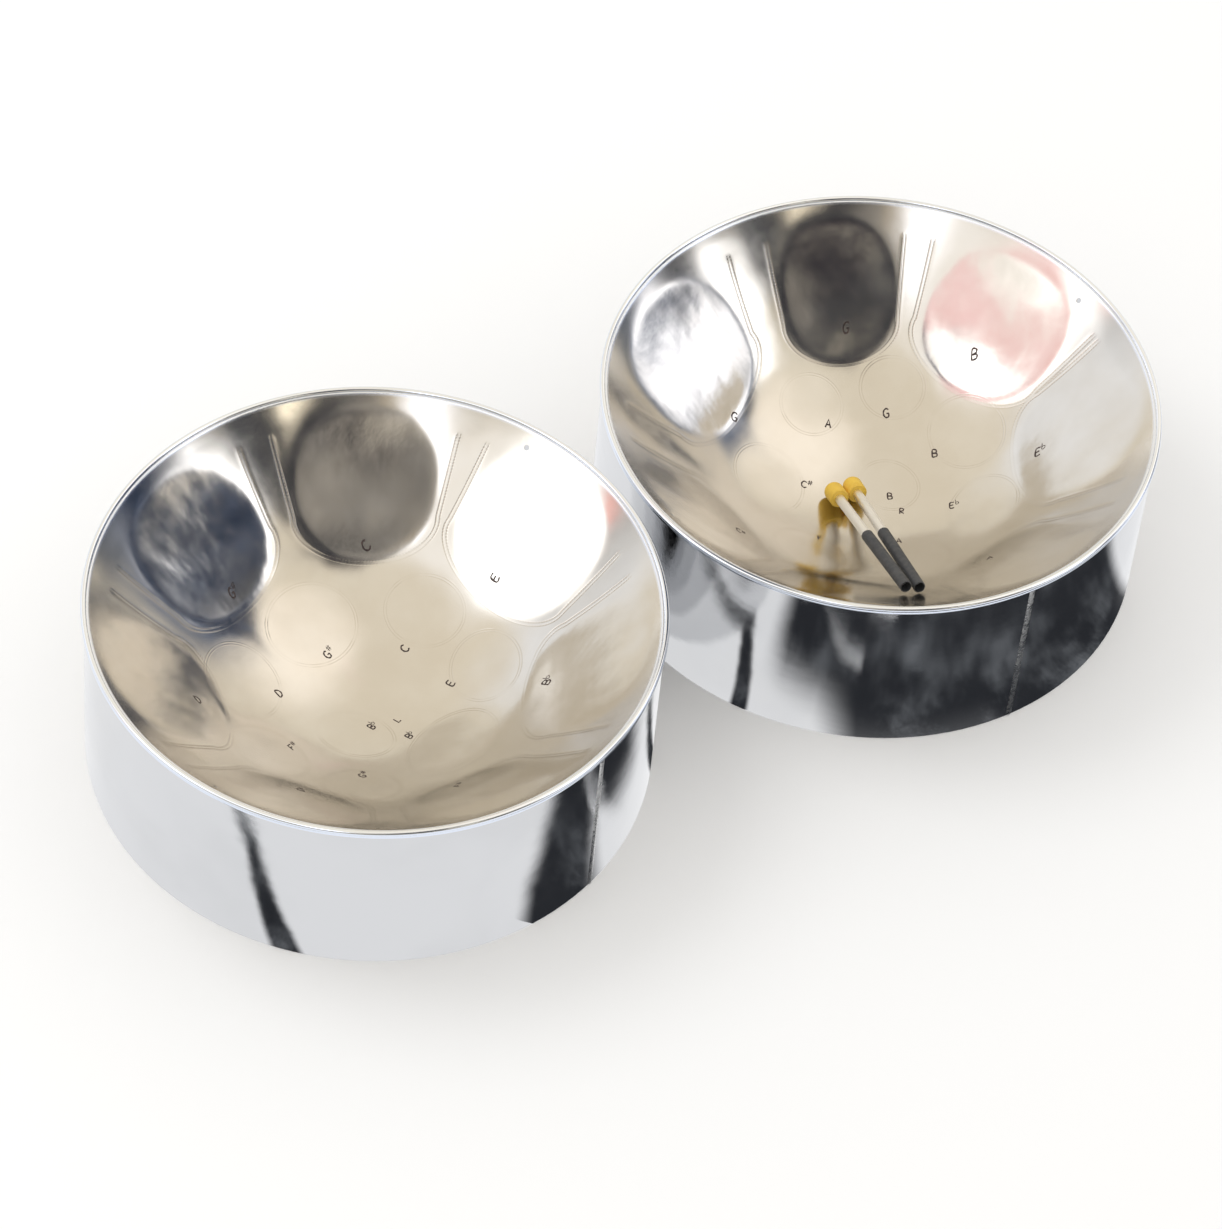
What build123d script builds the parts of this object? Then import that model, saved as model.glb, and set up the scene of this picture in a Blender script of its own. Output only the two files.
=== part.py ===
from build123d import *
import math
import os

# A double-second steel pan: two equal drums that stand side by side on the floor,
# with a pair of beaters lying in the right-hand drum. Millimetres, +Z up.
# The origin is on the floor, midway between the drums; +X runs from the left drum
# to the right one and the player stands on the -Y side.

# Drums
drum_spacing = 594.0
skirt_radius = 286.0
sheet = 1.2
pan_height = 204.0
chime_height = 8.0
chime_inner_radius = 283.0
chime_body_radius = 288.2
chime_bead_radius = 2.9
seam_width_radius = 6.0
seam_proud = 1.0
seam_angles = {"left": -70.0, "right": -91.0}

# Playing bowl: a ball-shaped floor, a flatter wall, a rounded corner and a flange
bowl_bottom = 42.0
floor_radius = 280.0
floor_slope = 36.0
wall_radius = 750.0
wall_slope = 48.0
corner_radius = 2.0

# Hanging holes through the band above the outer notes
hole_radius = 3.0
hole_reach = 270.0
hole_angles = {"left": 26.0, "right": 6.0}

# Outer notes: (name, angle in degrees), all at one distance from the drum's axis.
# Inner notes: (name, angle in degrees, distance from the drum's axis, field radius).
outer_reach = 212.0
outer_notes = {
    "left": [("Gs", 114.5), ("C", 63.0), ("E", 12.5), ("Bb", -38.0), ("Fs", -90.0),
             ("Gs2", -141.5), ("D", 166.0)],
    "right": [("G", 67.5), ("B", 20.5), ("Eb", -27.0), ("A", -78.5), ("F", -129.5),
              ("Cs", -179.0), ("G2", 122.0)],
}
inner_notes = {
    "left": [("Gs", 96.0, 106.0, 44.0), ("C", 33.0, 118.0, 39.0), ("E", -14.0, 120.0, 39.0),
             ("Bb", -70.0, 106.0, 43.0), ("Gs2", -124.0, 130.0, 37.0), ("Fs", -167.0, 138.0, 40.0),
             ("D", 150.0, 130.0, 43.0), ("Bb2", -140.0, 42.0, 30.0)],
    "right": [("Cs", 146.0, 104.0, 41.0), ("A2", 87.0, 121.0, 32.0), ("G", 46.0, 134.0, 32.0),
              ("B", 3.0, 130.0, 41.0), ("Eb", -44.0, 124.0, 38.0), ("A", -97.0, 112.0, 37.0),
              ("F", -155.0, 116.0, 36.0), ("B2", 6.0, 30.0, 29.0)],
}
outer_rise = 9.0
outer_half_size = 80.0
outer_across_radius = 3000.0
outer_along_radius = 550.0
inner_dome_radius = 500.0
dome_skirt = 7.0
dome_root = 5.0

# Beaters
shaft_radius = 5.2
shaft_bore = 4.0
grip_radius = 6.3
grip_length = 118.0
grip_hollow = 14.0
tip_radius = 10.3
tip_length = 25.0
tip_dome = 7.0
tip_to_end = 216.0
tip_socket = 17.0
tip_clearance = 2.2
grip_clearances = [3.4, 0.2]
beater_tips = [(-30.5, 12.0), (-8.5, 10.6)]
beater_headings = [-104.5, -106.1]

# Centres of the bowl's arcs, as (distance from the axis, height)
floor_break = math.radians(floor_slope)
wall_top = math.radians(wall_slope)
floor_centre = (0.0, bowl_bottom + floor_radius)
wall_centre = (
    -(wall_radius - floor_radius) * math.sin(floor_break),
    floor_centre[1] + (wall_radius - floor_radius) * math.cos(floor_break),
)
corner_centre = (
    wall_centre[0] + (wall_radius + corner_radius) * math.sin(wall_top),
    wall_centre[1] - (wall_radius + corner_radius) * math.cos(wall_top),
)


def on_floor(angle, depth):
    """Point of the ball-shaped floor's arc, pushed down by depth."""
    size = floor_radius + depth
    return (size * math.sin(angle), floor_centre[1] - size * math.cos(angle))


def on_wall(angle, depth):
    size = wall_radius + depth
    return (
        wall_centre[0] + size * math.sin(angle),
        wall_centre[1] - size * math.cos(angle),
    )


def on_corner(angle, depth):
    size = corner_radius - depth
    return (
        corner_centre[0] - size * math.sin(angle),
        corner_centre[1] + size * math.cos(angle),
    )


def bowl_height(reach, depth):
    """Height of the bowl's surface, pushed down by depth, and its slope, at a distance from the axis."""
    size = floor_radius + depth
    if reach < size * math.sin(floor_break):
        slope = math.asin(reach / size)
        return floor_centre[1] - size * math.cos(slope), slope
    size = wall_radius + depth
    slope = math.asin((reach - wall_centre[0]) / size)
    return wall_centre[1] - size * math.cos(slope), slope


def under_bowl(depth, outer_radius, bottom):
    """Everything under the bowl's surface, pushed down by depth."""
    half_floor = floor_break / 2
    half_wall = (floor_break + wall_top) / 2
    flange_height = on_corner(0, depth)[1]
    edges = [
        ThreePointArc(on_floor(0, depth), on_floor(half_floor, depth), on_floor(floor_break, depth)),
        ThreePointArc(on_wall(floor_break, depth), on_wall(half_wall, depth), on_wall(wall_top, depth)),
        ThreePointArc(on_corner(wall_top, depth), on_corner(wall_top / 2, depth), on_corner(0, depth)),
        Line(on_corner(0, depth), (outer_radius, flange_height)),
        Line((outer_radius, flange_height), (outer_radius, bottom)),
        Line((outer_radius, bottom), (0, bottom)),
        Line((0, bottom), on_floor(0, depth)),
    ]
    return revolve(Plane.XZ * make_face(edges), Axis.Z)


def note_frame(angle, reach, depth):
    """A plane on the bowl's surface, its normal pointing up into the bowl."""
    height, slope = bowl_height(reach, 0)
    turn = math.radians(angle)
    normal = Vector(-math.sin(slope) * math.cos(turn), -math.sin(slope) * math.sin(turn), math.cos(slope))
    along = Vector(-math.sin(turn), math.cos(turn), 0)
    centre = Vector(reach * math.cos(turn), reach * math.sin(turn), height) - normal * depth
    return Plane(origin=centre, x_dir=along, z_dir=normal)


def outer_cap():
    """A barrel-shaped cap over an outer note: nearly straight across, gently arched along the wall."""
    half = outer_half_size
    edge = outer_rise - (outer_across_radius - math.sqrt(outer_across_radius ** 2 - half ** 2))
    outline = [
        ThreePointArc((-half, edge), (0, outer_rise), (half, edge)),
        Line((half, edge), (half, -dome_root)),
        Line((half, -dome_root), (-half, -dome_root)),
        Line((-half, -dome_root), (-half, edge)),
    ]
    spine = Axis((0, 0, outer_rise - outer_along_radius), (1, 0, 0))
    sweep = 2 * math.degrees(half / outer_along_radius)
    cap = revolve(Plane.XZ * make_face(outline), spine, sweep)
    return cap.rotate(spine, -sweep / 2)


def inner_cap(field):
    """A low round cap over an inner note of the given field radius."""
    rise = field ** 2 / 2 * (1 / floor_radius + 1 / inner_dome_radius)
    edge = field + dome_skirt
    drop = inner_dome_radius - math.sqrt(inner_dome_radius ** 2 - edge ** 2)
    half_drop = inner_dome_radius - math.sqrt(inner_dome_radius ** 2 - edge ** 2 / 4)
    outline = [
        ThreePointArc((0, rise), (edge / 2, rise - half_drop), (edge, rise - drop)),
        Line((edge, rise - drop), (edge, -dome_root)),
        Line((edge, -dome_root), (0, -dome_root)),
        Line((0, -dome_root), (0, rise)),
    ]
    return revolve(Plane.XZ * make_face(outline), Axis.Z)


def note_caps(side, depth):
    caps = []
    for name, angle in outer_notes[side]:
        caps.append(note_frame(angle, outer_reach, depth) * outer_cap())
    for name, angle, reach, field in inner_notes[side]:
        caps.append(note_frame(angle, reach, depth) * inner_cap(field))
    return caps


def make_head(side):
    """The sunk playing bowl: one sheet with a dome over each note and two hanging holes."""
    top = under_bowl(0, chime_inner_radius, 0) + note_caps(side, 0)
    below = under_bowl(sheet, chime_inner_radius + 20, -20) + note_caps(side, sheet)
    head = top - below
    for half_turn in (0, 180):
        hole = note_frame(hole_angles[side] + half_turn, hole_reach, 0) * Cylinder(hole_radius, 20)
        head = head - hole
    return head


def make_rim():
    """The rolled chime: an upright seam with a round bead along its top."""
    low = pan_height - chime_height
    bead_height = pan_height - chime_bead_radius
    bead_reach = (chime_inner_radius + chime_body_radius) / 2 + 0.4
    body_width = chime_body_radius - chime_inner_radius
    body_height = bead_height - low
    body = Pos(chime_inner_radius + body_width / 2, low + body_height / 2) * Rectangle(body_width, body_height)
    bead = Pos(bead_reach, bead_height) * Circle(chime_bead_radius)
    return revolve(Plane.XZ * (body + bead), Axis.Z)


def make_skirt():
    tube = Circle(skirt_radius) - Circle(skirt_radius - sheet)
    return extrude(tube, pan_height - chime_height)


def make_seam(side):
    """The upright weld where the skirt's sheet closes on itself."""
    inset = skirt_radius + seam_proud - seam_width_radius
    bead = Pos(inset, 0) * Circle(seam_width_radius) - Circle(skirt_radius)
    seam = Pos(0, 0, 1) * extrude(bead, pan_height - chime_height - 2)
    return Rot(0, 0, seam_angles[side]) * seam


def beater_axis(index):
    """The beater's tip centre and the direction of its handle, with both ends just clear of the bowl."""
    tip_x, tip_y = beater_tips[index]
    heading = math.radians(beater_headings[index])
    tip_height = bowl_height(math.hypot(tip_x, tip_y), -(tip_radius + tip_clearance))[0]
    tilt = 0.0
    for step in range(20):
        run = tip_to_end * math.cos(tilt)
        end_x = tip_x + run * math.cos(heading)
        end_y = tip_y + run * math.sin(heading)
        end_height = bowl_height(math.hypot(end_x, end_y), -(grip_radius + grip_clearances[index]))[0]
        tilt = math.asin((end_height - tip_height) / tip_to_end)
    direction = Vector(
        math.cos(tilt) * math.cos(heading), math.cos(tilt) * math.sin(heading), math.sin(tilt)
    )
    return Vector(tip_x, tip_y, tip_height), direction


def make_beater(index):
    """Tip, shaft and grip along local +Z, with the tip's middle at the local origin."""
    centre, direction = beater_axis(index)
    place = Plane(origin=centre, z_dir=direction)
    front = -tip_length / 2
    outline = [
        Line((0, front), (2.5, front)),
        ThreePointArc(
            (2.5, front),
            (2.5 + (tip_radius - 2.5) * 0.72, front + tip_dome * 0.31),
            (tip_radius, front + tip_dome),
        ),
        Line((tip_radius, front + tip_dome), (tip_radius, -front - 1)),
        Line((tip_radius, -front - 1), (tip_radius - 1, -front)),
        Line((tip_radius - 1, -front), (0, -front)),
        Line((0, -front), (0, front)),
    ]
    socket_floor = -front - tip_socket
    tip = revolve(Plane.XZ * make_face(outline), Axis.Z)
    tip = tip - Pos(0, 0, socket_floor + 25) * Cylinder(shaft_radius, 50)
    shaft_end = tip_to_end - grip_hollow
    shaft_ring = Circle(shaft_radius) - Circle(shaft_bore)
    shaft = Pos(0, 0, socket_floor) * extrude(shaft_ring, shaft_end - socket_floor)
    grip_start = tip_to_end - grip_length
    grip = Pos(0, 0, grip_start + grip_length / 2) * Cylinder(grip_radius, grip_length)
    grip = fillet(grip.edges().filter_by(GeomType.CIRCLE), 1.0)
    grip = grip - Pos(0, 0, grip_start + grip_length / 2) * Cylinder(shaft_radius, grip_length + 10)
    return [("tip", place * tip), ("shaft", place * shaft), ("grip", place * grip)]


pieces = {}
for side, way in (("left", -1), ("right", 1)):
    drum_place = Pos(way * drum_spacing / 2, 0, 0)
    pieces[side + "_head"] = drum_place * make_head(side)
    pieces[side + "_rim"] = drum_place * make_rim()
    pieces[side + "_skirt"] = drum_place * make_skirt()
    pieces[side + "_seam"] = drum_place * make_seam(side)
for index, side in enumerate(("left", "right")):
    for name, solid in make_beater(index):
        pieces[side + "_beater_" + name] = Pos(drum_spacing / 2, 0, 0) * solid

os.makedirs("parts", exist_ok=True)
for name, solid in pieces.items():
    export_step(solid, "parts/" + name + ".step")
    print(name, round(solid.volume), solid.is_valid)
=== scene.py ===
# Looks of the double-second steel pan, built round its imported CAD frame.
# Lengths in the tables are millimetres in one drum's own frame; mm() turns them to metres.
import bpy
import math
import numpy as np
from mathutils import Matrix, Vector


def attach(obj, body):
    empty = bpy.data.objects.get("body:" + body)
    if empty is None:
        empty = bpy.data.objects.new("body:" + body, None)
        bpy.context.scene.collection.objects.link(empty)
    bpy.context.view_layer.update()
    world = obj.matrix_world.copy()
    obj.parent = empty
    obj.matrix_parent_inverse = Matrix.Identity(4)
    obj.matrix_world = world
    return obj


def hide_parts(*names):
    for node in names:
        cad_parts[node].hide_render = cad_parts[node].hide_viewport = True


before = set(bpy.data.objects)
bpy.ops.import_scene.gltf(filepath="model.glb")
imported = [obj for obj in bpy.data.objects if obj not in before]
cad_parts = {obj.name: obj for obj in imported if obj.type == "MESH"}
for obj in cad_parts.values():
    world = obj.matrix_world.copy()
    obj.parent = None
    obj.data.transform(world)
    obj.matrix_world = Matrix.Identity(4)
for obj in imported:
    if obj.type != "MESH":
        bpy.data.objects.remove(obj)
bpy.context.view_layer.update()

SIDES = ("left", "right")
CENTRE_X = {"left": -297.0, "right": 297.0}

# The bowl's arcs, as in the CAD model
BOTTOM, FLOOR_R, WALL_R, CORNER_R, SHEET = 42.0, 280.0, 750.0, 2.0, 1.2
BREAK, TOP = math.radians(36.0), math.radians(48.0)
FLOOR_Z = BOTTOM + FLOOR_R
WALL_X = -(WALL_R - FLOOR_R) * math.sin(BREAK)
WALL_Z = FLOOR_Z + (WALL_R - FLOOR_R) * math.cos(BREAK)
CORNER_X = WALL_X + (WALL_R + CORNER_R) * math.sin(TOP)
CORNER_Z = WALL_Z - (WALL_R + CORNER_R) * math.cos(TOP)
BREAK_X = FLOOR_R * math.sin(BREAK)
TOP_X = WALL_X + WALL_R * math.sin(TOP)

# Outer notes: angle, half width of the dome, half angle between the groove's ends at the rim,
# depth of the hammer marks, rise of the dome
OUTER_REACH = 212.0
OUTER = {
    "left": [(115.0, 76, 21.5, 0.055, 9.0), (63.0, 73, 20.5, 0.012, 9.0), (13.0, 82, 20.5, 0.035, 8.5),
             (-37.5, 72, 21.0, 0.045, 6.0), (-89.5, 70, 21.0, 0.030, 6.0), (-141.0, 70, 21.0, 0.030, 6.0),
             (166.5, 72, 21.5, 0.045, 6.0)],
    "right": [(67.5, 61, 16.0, 0.012, 9.0), (20.5, 78, 22.5, 0.045, 8.5), (-26.5, 74, 20.5, 0.040, 6.5),
              (-78.5, 70, 21.5, 0.030, 6.0), (-129.5, 68, 21.0, 0.030, 6.0), (-178.5, 68, 20.5, 0.040, 6.0),
              (122.0, 84, 26.5, 0.060, 9.0)],
}
DOME_UP, DOME_DOWN = 80.0, 70.0
GROOVE_START, GROOVE_END, GROOVE_ROUND, GROOVE_RUN = -30.0, 259.0, 44.0, 96.0
# The distance to a groove or a scribed line is not followed beyond this
FAR_OFF = 60.0
# Inner notes: angle, distance from the axis, half width, half length, rise
INNER = {
    "left": [(96, 106, 46, 42, 4.6), (33, 118, 40, 36, 2.6), (-14, 120, 40, 36, 2.6),
             (-68, 104, 50, 40, 4.6), (-124, 130, 37, 34, 2.6), (-167, 138, 40, 38, 3.0),
             (150, 130, 43, 41, 3.0), (-140, 44, 38, 29, 1.6)],
    "right": [(146, 104, 42, 38, 3.4), (87, 121, 32, 32, 2.2), (46, 134, 32, 32, 2.4),
              (3, 130, 42, 38, 2.8), (-44, 124, 40, 36, 2.8), (-97, 112, 37, 35, 2.4),
              (-155, 116, 37, 34, 2.4), (6, 32, 32, 28, 1.8)],
}
HOLES = {"left": (26.0, 206.0), "right": (6.0, 186.0)}
HOLE_REACH, HOLE_R = 270.0, 3.0
CHIME_LOW, CHIME_TOP, CHIME_INNER, CHIME_OUTER, BEAD_R = 196.0, 203.99, 283.0, 288.2, 2.89


def mm(values, side=None):
    """Millimetres in a drum's frame to metres in the row frame."""
    values = np.array(values, float)
    if side:
        values = values + np.array([CENTRE_X[side], 0.0, 0.0])
    return values / 1000.0


# ---------------------------------------------------------------- the bowl's surface
def profile(reach):
    """Height and slope of the bowl's top surface at each distance from the axis."""
    reach = np.asarray(reach, float)
    floor_slope = np.arcsin(np.clip(reach / FLOOR_R, 0, 0.95))
    wall_slope = np.arcsin(np.clip((reach - WALL_X) / WALL_R, 0, 0.95))
    corner_slope = np.arcsin(np.clip((CORNER_X - reach) / CORNER_R, 0, 1))
    on_floor = reach <= BREAK_X
    height = np.where(on_floor, FLOOR_Z - FLOOR_R * np.cos(floor_slope), WALL_Z - WALL_R * np.cos(wall_slope))
    slope = np.where(on_floor, floor_slope, wall_slope)
    corner = reach > TOP_X
    height = np.where(corner, CORNER_Z + CORNER_R * np.cos(corner_slope), height)
    slope = np.where(corner, corner_slope, slope)
    return height, slope


def base_points(x, y):
    """Points of the plain bowl above (x, y), with their normals."""
    reach = np.hypot(x, y)
    height, slope = profile(reach)
    safe = np.where(reach < 1e-6, 1.0, reach)
    cos_turn, sin_turn = x / safe, y / safe
    points = np.stack([x, y, height], -1)
    normals = np.stack([-np.sin(slope) * cos_turn, -np.sin(slope) * sin_turn, np.cos(slope)], -1)
    return points, normals


def note_axes(angle, reach):
    """Centre, across, outwards and normal of a note's own tangent plane."""
    turn = math.radians(angle)
    x, y = reach * math.cos(turn), reach * math.sin(turn)
    points, normals = base_points(np.array([x]), np.array([y]))
    across = np.array([-math.sin(turn), math.cos(turn), 0.0])
    normal = normals[0]
    outwards = np.cross(across, normal)
    if outwards[2] < 0:
        outwards = -outwards
    return points[0], across, outwards, normal


def soft(values, width):
    """Values above zero, with a rounded step at zero."""
    return 0.5 * (values + np.sqrt(values * values + width * width))


def ripple(x, y, size, seed):
    """Gentle uneven undulation, about -1 to 1, with features of the given size."""
    rng = np.random.RandomState(seed)
    total = np.zeros_like(x)
    for step in range(14):
        turn = rng.uniform(0, math.pi)
        wave = size * rng.uniform(0.7, 1.6)
        phase = rng.uniform(0, 2 * math.pi)
        total += np.sin((x * math.cos(turn) + y * math.sin(turn)) * 2 * math.pi / wave + phase)
    return total / 4.2


def shape(side, x, y):
    """How far the sheet is raised along its normal, and the marks on it, above (x, y)."""
    points, normals = base_points(x, y)
    lift = np.zeros_like(x)
    edge = np.full_like(x, FAR_OFF)
    run = np.zeros_like(x)
    ring = np.full_like(x, FAR_OFF)
    worked = np.zeros_like(x)
    beaten = np.full_like(x, 0.008)
    for angle, half_width, half_angle, hammer, rise in OUTER[side]:
        centre, across, outwards, normal = note_axes(angle, OUTER_REACH)
        away = points - centre
        u, v = away @ across, away @ outwards
        same_side = (away @ normal) < 120
        # The dome: an egg, broader and longer towards the rim
        breadth = half_width * (1 + 0.0011 * np.clip(v, -90, 90))
        length = np.where(v > 0, DOME_UP, DOME_DOWN)
        out = (np.abs(u / breadth) ** 2.3 + np.abs(v / length) ** 2.3) ** 0.87
        dome = np.where((out < 4) & same_side, soft(rise * (1 - out), 1.4), 0)
        lift += dome * np.clip((4 - out) / 2, 0, 1)
        inside = np.clip((1.15 - out) / 0.25, 0, 1) * same_side
        worked = np.maximum(worked, inside)
        beaten = np.maximum(beaten, hammer * inside)
        # The groove: straight sides that open towards the rim, and a round inner end
        wide = half_width * 0.985
        spread = (GROOVE_END * math.tan(math.radians(half_angle)) - wide) / GROOVE_RUN
        past = v - GROOVE_START
        sides = (np.abs(u) - (wide + past * spread)) / math.hypot(1, spread)
        root = np.sqrt((u / wide) ** 2 + (past / GROOVE_ROUND) ** 2)
        pull = np.sqrt((u / wide ** 2) ** 2 + (past / GROOVE_ROUND ** 2) ** 2) + 1e-9
        gap = np.where(past > 0, sides, (root - 1) * root / pull)
        turns = np.linspace(0, math.pi / 2, 40)
        steps = np.hypot(wide * np.cos(turns), GROOVE_ROUND * np.sin(turns)) * turns[1]
        turned_by = np.arctan2(np.abs(u) / wide, -past / GROOVE_ROUND)
        arc = np.interp(turned_by, turns, np.cumsum(steps) - steps[0])
        along = np.where(past > 0, np.sum(steps) + past, arc)
        nearer = (gap < edge) & same_side
        edge = np.where(nearer, gap, edge)
        run = np.where(nearer, along, run)
    for angle, reach, half_width, half_length, rise in INNER[side]:
        centre, across, outwards, normal = note_axes(angle, reach)
        away = points - centre
        u, v = away @ across, away @ outwards
        q = (u / half_width) ** 2 + (v / half_length) ** 2
        lift += np.where(q < 6, soft(0.62 * rise * (1 - q), 1.5) * np.clip((6 - q) / 5, 0, 1), 0)
        pull = np.sqrt((u / half_width ** 2) ** 2 + (v / half_length ** 2) ** 2) + 1e-9
        gap = (np.sqrt(q) - 1) * np.sqrt(q) / pull
        ring = np.minimum(ring, gap)
        worked = np.maximum(worked, 0.45 * np.clip((1.2 - q) / 0.3, 0, 1))
    reach = np.hypot(x, y)
    # The groove is a shallow trough that fades out at the rim's band
    fade = np.clip((262 - reach) / 4, 0, 1) * np.clip((run - 30) / 60, 0.12, 1)
    lift -= 0.26 * np.exp(-((edge - 1.6) / 2.4) ** 2) * fade
    # Hammered unevenness: broad all over, finer where a note was worked
    calm = np.clip((274 - reach) / 12, 0, 1)
    lift += calm * (0.17 * ripple(x, y, 62, 3 if side == "left" else 8) + beaten * ripple(x, y, 26, 5))
    lift += calm * 0.022 * ripple(x, y, 30, 21)
    lift += calm * (0.003 + 0.28 * beaten) * ripple(x, y, 11, 11)
    return points, normals, lift, edge, run, ring, worked, fade


def sheet_points(side, x, y, above):
    """Points a little above the finished sheet."""
    points, normals, lift = shape(side, x, y)[:3]
    return points + normals * (lift + above)[..., None]


# ---------------------------------------------------------------- mesh helpers
def new_mesh(name, vertices, faces, smooth=True):
    """An object in the scene, from points in metres."""
    mesh = bpy.data.meshes.new(name)
    mesh.from_pydata([tuple(v) for v in vertices], [], faces)
    mesh.update()
    if smooth:
        mesh.polygons.foreach_set("use_smooth", [True] * len(mesh.polygons))
    obj = bpy.data.objects.new(name, mesh)
    bpy.context.scene.collection.objects.link(obj)
    return obj


def zip_rings(fine, coarse, flip):
    """Faces between two closed rings, where the fine one has a whole multiple of the coarse one's points."""
    times = len(fine) // len(coarse)
    faces = []
    for i in range(len(coarse)):
        a, b = coarse[i], coarse[(i + 1) % len(coarse)]
        row = [fine[(i * times + k) % len(fine)] for k in range(times + 1)]
        if times == 1:
            faces.append((a, row[0], row[1], b))
            continue
        half = (times + 1) // 2
        for k in range(times):
            faces.append((a if k < half else b, row[k], row[k + 1]))
        faces.append((a, row[half], b))
    if flip:
        faces = [tuple(reversed(f)) for f in faces]
    return faces


def sheet_side(side, rings, window, depth):
    """One face of the bowl's sheet as rings of points, with a window of cells left out about each hole.

    Returns the points, their marks, the faces, the edge ring and the holes' rings.
    """
    xs, ys = [], []
    starts = []
    for reach, count in rings:
        starts.append((len(xs), count))
        for i in range(count):
            turn = 2 * math.pi * i / count
            xs.append(reach * math.cos(turn))
            ys.append(reach * math.sin(turn))
    xs, ys = np.array(xs), np.array(ys)
    faces = []
    hole_rings = []
    removed = set()
    across, along = window
    for hole_angle in HOLES[side]:
        turn = math.radians(hole_angle)
        hole_x, hole_y = HOLE_REACH * math.cos(turn), HOLE_REACH * math.sin(turn)
        # the window of cells about the hole
        ring_at = min(range(len(rings)), key=lambda k: abs(rings[k][0] - HOLE_REACH))
        count = rings[ring_at][1]
        first_ring = ring_at - along // 2
        first_col = int(round(hole_angle / 360 * count)) - across // 2
        for r in range(first_ring, first_ring + along):
            for c in range(first_col, first_col + across):
                removed.add((r, c % count))
        border = []
        for c in range(across):
            border.append((first_ring, first_col + c))
        for r in range(along):
            border.append((first_ring + r, first_col + across))
        for c in range(across):
            border.append((first_ring + along, first_col + across - c))
        for r in range(along):
            border.append((first_ring + along - r, first_col))
        ids = [starts[r][0] + (c % count) for r, c in border]
        hole_rings.append((ids, hole_x, hole_y))
    for k in range(len(rings) - 1):
        (start_a, count_a), (start_b, count_b) = starts[k], starts[k + 1]
        ring_a = list(range(start_a, start_a + count_a))
        ring_b = list(range(start_b, start_b + count_b))
        if count_a == count_b:
            for i in range(count_a):
                if (k, i) in removed:
                    continue
                j = (i + 1) % count_a
                faces.append((ring_a[i], ring_b[i], ring_b[j], ring_a[j]))
        elif count_a == 1:
            for i in range(count_b):
                faces.append((ring_a[0], ring_b[i], ring_b[(i + 1) % count_b]))
        else:
            faces += zip_rings(ring_b, ring_a, False)
    points, normals, lift, edge, run, ring, worked, fade = shape(side, xs, ys)
    places = points + normals * (lift - depth)[:, None]
    border = np.clip((np.hypot(xs, ys) - 279.5) / 1.6, 0, 1)
    marks = [edge, run, ring, worked, fade, border]
    hole_ids = []
    extra_places, extra_marks = [], [[] for m in marks]
    total = len(xs)
    for ids, hole_x, hole_y in hole_rings:
        centre, axis_u, axis_v, normal = note_axes(math.degrees(math.atan2(hole_y, hole_x)), HOLE_REACH)
        centre = centre - normal * depth
        # take the hole's middle onto the raised sheet
        raised = shape(side, np.array([hole_x]), np.array([hole_y]))[2][0]
        centre = centre + normal * raised
        circle = []
        for i in ids:
            away = places[i] - centre
            angle = math.atan2(away @ axis_v, away @ axis_u)
            rim = centre + HOLE_R * (math.cos(angle) * axis_u + math.sin(angle) * axis_v)
            circle.append(total + len(extra_places))
            extra_places.append(rim)
            for m, values in zip(extra_marks, marks):
                m.append(values[i])
        n = len(ids)
        for k in range(n):
            faces.append((ids[k], circle[k], circle[(k + 1) % n], ids[(k + 1) % n]))
        hole_ids.append(circle)
    places = np.vstack([places, np.array(extra_places)])
    marks = [np.concatenate([values, np.array(m)]) for values, m in zip(marks, extra_marks)]
    last_start, last_count = starts[-1]
    return places, marks, faces, list(range(last_start, last_start + last_count)), hole_ids


def make_bowl(side):
    """The sunk head: a sheet with two faces, joined at its edge and at its two holes."""
    top_rings = [(0.0, 1)]
    for reach in np.linspace(4, 20, 5):
        top_rings.append((reach, 90))
    for reach in np.linspace(23, 56, 12):
        top_rings.append((reach, 180))
    for reach in np.linspace(58.8, 120, 23):
        top_rings.append((reach, 360))
    for reach in np.linspace(122.2, 275.2, 72):
        top_rings.append((reach, 720))
    for reach in (277.2, 279.2, 280.4, TOP_X, 281.5, 281.9, 282.3, 282.6, 283.0):
        top_rings.append((reach, 720))
    under_rings = [(0.0, 1)]
    for reach in np.linspace(10, 60, 6):
        under_rings.append((reach, 60))
    for reach in np.linspace(68, 276, 32):
        under_rings.append((reach, 180))
    for reach in (279.0, TOP_X, 281.7, 283.0):
        under_rings.append((reach, 180))
    top, top_marks, top_faces, top_edge, top_holes = sheet_side(side, top_rings, (6, 6), 0.0)
    under, under_marks, under_faces, under_edge, under_holes = sheet_side(side, under_rings, (3, 3), SHEET)
    shift = len(top)
    places = np.vstack([top, under])
    marks = [np.concatenate(pair) for pair in zip(top_marks, under_marks)]
    faces = top_faces + [tuple(shift + i for i in reversed(f)) for f in under_faces]
    faces += zip_rings(top_edge, [shift + i for i in under_edge], True)
    for upper, lower in zip(top_holes, under_holes):
        faces += zip_rings(upper, [shift + i for i in lower], True)
    obj = new_mesh(side + "_bowl", mm(places, side), faces)
    lips = {i for ring in top_holes for i in ring} | {shift + i for ring in under_holes for i in ring}
    corners = set(top_edge) | {shift + i for i in under_edge}
    for edge in obj.data.edges:
        pair = set(edge.vertices)
        edge.use_edge_sharp = pair <= lips or pair <= corners
    for name, values in zip(("edge", "run", "ring", "worked", "fade", "border"), marks):
        layer = obj.data.attributes.new(name, "FLOAT", "POINT")
        layer.data.foreach_set("value", np.asarray(values, np.float32))
    is_top = np.concatenate([np.ones(len(top)), np.zeros(len(under))])
    layer = obj.data.attributes.new("top_face", "FLOAT", "POINT")
    layer.data.foreach_set("value", is_top.astype(np.float32))
    return obj


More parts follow.
